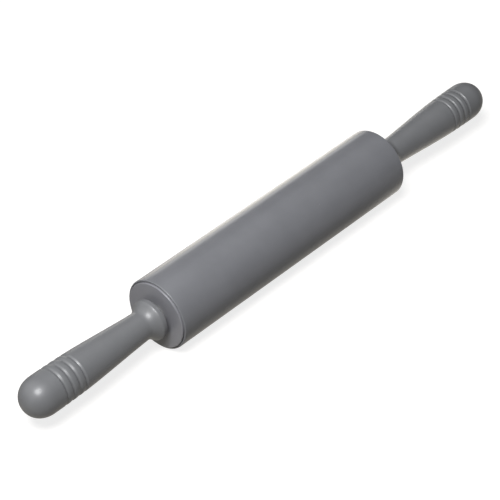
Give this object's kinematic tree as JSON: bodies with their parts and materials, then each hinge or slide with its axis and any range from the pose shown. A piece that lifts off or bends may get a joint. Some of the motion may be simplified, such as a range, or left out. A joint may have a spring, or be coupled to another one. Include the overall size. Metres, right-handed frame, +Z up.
{
  "type": "rolling pin",
  "caption": "Silicone rolling pin: a silicone-sleeved roller turns freely on a steel axle between slim moulded handles with ringed, domed ends.",
  "frame": {"origin": "middle of the pin, on the axle's line", "axes": "+X along the axle, from one handle's tip to the other's; +Z up; the pin is the same at both ends"},
  "size_m": [0.4492, 0.05, 0.05],
  "materials": {
    "silicone": "matt silicone rubber with a fine satin skin",
    "moulded_grip": "satin moulded polypropylene",
    "moulded_cap": "matt moulded polypropylene",
    "core": "natural extruded polypropylene",
    "nylon": "natural nylon, smooth",
    "axle_steel": "bright drawn steel rod",
    "zinc_steel": "zinc-plated steel"
  },
  "bodies": {
    "handles_and_axle": {"axle": "axle_steel", "thrust_washer_left": "nylon", "thrust_washer_right": "nylon", "handle_left": "moulded_grip", "handle_right": "moulded_grip", "handle_end_left": "moulded_grip", "handle_end_right": "moulded_grip", "spring_washers": "zinc_steel", "axle_nuts": "zinc_steel"},
    "roller": {"silicone_sleeve": "silicone", "core_tube": "core", "end_cap_left": "moulded_cap", "end_cap_right": "moulded_cap", "bush_left": "nylon", "bush_right": "nylon"}
  },
  "joints": [
    {"name": "roller_spin", "type": "hinge", "parent": "handles_and_axle", "child": "roller", "pos_m": [0, 0, 0], "axis": [1, 0, 0], "continuous": true}
  ]
}
